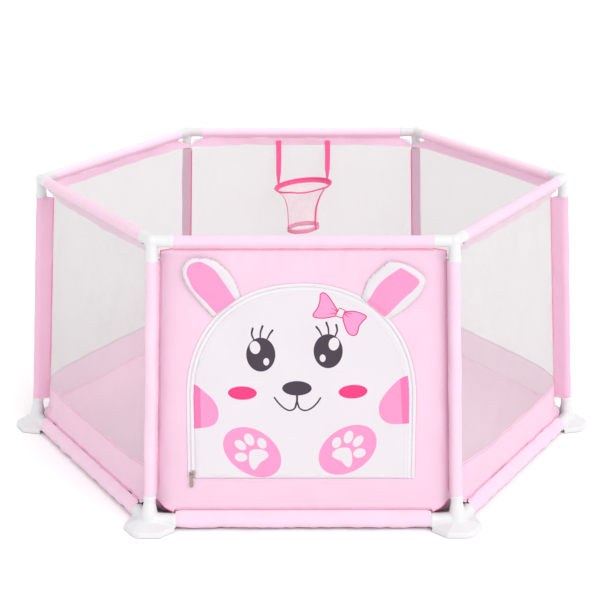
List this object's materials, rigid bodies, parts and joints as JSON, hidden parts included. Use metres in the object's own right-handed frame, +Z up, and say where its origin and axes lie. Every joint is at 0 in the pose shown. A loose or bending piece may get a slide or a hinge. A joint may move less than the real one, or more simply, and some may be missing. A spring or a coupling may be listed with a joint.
{
  "type": "baby playpen",
  "caption": "Six-sided fabric and mesh baby playpen on a push-together tube frame, with a zipped rabbit-face door, a sewn floor sheet and a small net ball hoop.",
  "frame": {"origin": "on the ground, at the middle of the six-sided pen", "axes": "+Z up; -Y outwards through the door panel; +X to the right of a person who faces the door"},
  "size_m": [1.384, 1.2066, 0.626],
  "materials": {
    "connector_plastic": "smooth moulded",
    "pad_rubber": "matt",
    "tube_paint": "satin",
    "panel_fabric": "woven polyester",
    "mesh_fabric": "knitted mesh",
    "floor_fabric": "woven polyester",
    "tape_fabric": "woven zip tape",
    "flap_fabric": "printed polyester",
    "ear_fabric": "padded and printed",
    "slider_metal": "dull",
    "hoop_fabric": "woven webbing",
    "net_fabric": "knitted net"
  },
  "bodies": {
    "frame": {"top_connector_1": "connector_plastic", "top_connector_2": "connector_plastic", "top_connector_3": "connector_plastic", "top_connector_4": "connector_plastic", "top_connector_5": "connector_plastic", "top_connector_6": "connector_plastic", "base_connector_1": "connector_plastic", "base_connector_2": "connector_plastic", "base_connector_3": "connector_plastic", "base_connector_4": "connector_plastic", "base_connector_5": "connector_plastic", "base_connector_6": "connector_plastic", "foot_pad_1": "pad_rubber", "foot_pad_2": "pad_rubber", "foot_pad_3": "pad_rubber", "foot_pad_4": "pad_rubber", "foot_pad_5": "pad_rubber", "foot_pad_6": "pad_rubber", "top_tube_1": "tube_paint", "top_tube_2": "tube_paint", "top_tube_3": "tube_paint", "top_tube_4": "tube_paint", "top_tube_5": "tube_paint", "top_tube_6": "tube_paint", "bottom_tube_1": "tube_paint", "bottom_tube_2": "tube_paint", "bottom_tube_3": "tube_paint", "bottom_tube_4": "tube_paint", "bottom_tube_5": "tube_paint", "bottom_tube_6": "tube_paint", "post_tube_1": "tube_paint", "post_tube_2": "tube_paint", "post_tube_3": "tube_paint", "post_tube_4": "tube_paint", "post_tube_5": "tube_paint", "post_tube_6": "tube_paint", "wall_cover_2": "panel_fabric", "wall_cover_3": "panel_fabric", "wall_cover_4": "panel_fabric", "wall_cover_5": "panel_fabric", "wall_cover_6": "panel_fabric", "mesh_window_2": "mesh_fabric", "mesh_window_3": "mesh_fabric", "mesh_window_4": "mesh_fabric", "mesh_window_5": "mesh_fabric", "mesh_window_6": "mesh_fabric", "front_cover": "panel_fabric", "floor_sheet": "floor_fabric", "zip_tape": "tape_fabric"},
    "door": {"door_flap": "flap_fabric"},
    "slider": {"zip_slider": "slider_metal"},
    "pull": {"zip_pull": "slider_metal"},
    "left_ear": {"left_ear": "ear_fabric"},
    "right_ear": {"right_ear": "ear_fabric"},
    "straps": {"left_strap": "hoop_fabric", "right_strap": "hoop_fabric"},
    "hoop": {"hoop_band": "hoop_fabric", "hoop_net": "net_fabric"}
  },
  "joints": [
    {"name": "door_hinge", "type": "hinge", "parent": "frame", "child": "door", "pos_m": [-0.004, -0.54984, 0.1119], "axis": [1, 0, 0], "range_deg": [0, 105]},
    {"name": "zip_slide", "type": "slide", "parent": "frame", "child": "slider", "axis": [0, 0.0582, 0.9983], "range_m": [0, 0.154]},
    {"name": "pull_hinge", "type": "hinge", "parent": "slider", "child": "pull", "pos_m": [-0.2307, -0.55451, 0.12119], "axis": [-1, 0, 0], "range_deg": [0, 165]},
    {"name": "left_ear_flop", "type": "hinge", "parent": "frame", "child": "left_ear", "pos_m": [-0.15, -0.52948, 0.47483], "axis": [0.7986, 0.035, 0.6008], "range_deg": [0, 95], "stiffness_Nm_per_rad": 0.03},
    {"name": "right_ear_flop", "type": "hinge", "parent": "frame", "child": "right_ear", "pos_m": [0.142, -0.52948, 0.47483], "axis": [0.7986, -0.035, -0.6008], "range_deg": [0, 95], "stiffness_Nm_per_rad": 0.03},
    {"name": "hoop_swing", "type": "hinge", "parent": "frame", "child": "straps", "pos_m": [0.004, 0.5183, 0.59088], "axis": [-1, 0, 0], "range_deg": [0, 70]},
    {"name": "hoop_tilt", "type": "hinge", "parent": "straps", "child": "hoop", "pos_m": [0.004, 0.4772, 0.4898], "axis": [-1, 0, 0], "range_deg": [0, 40]}
  ]
}
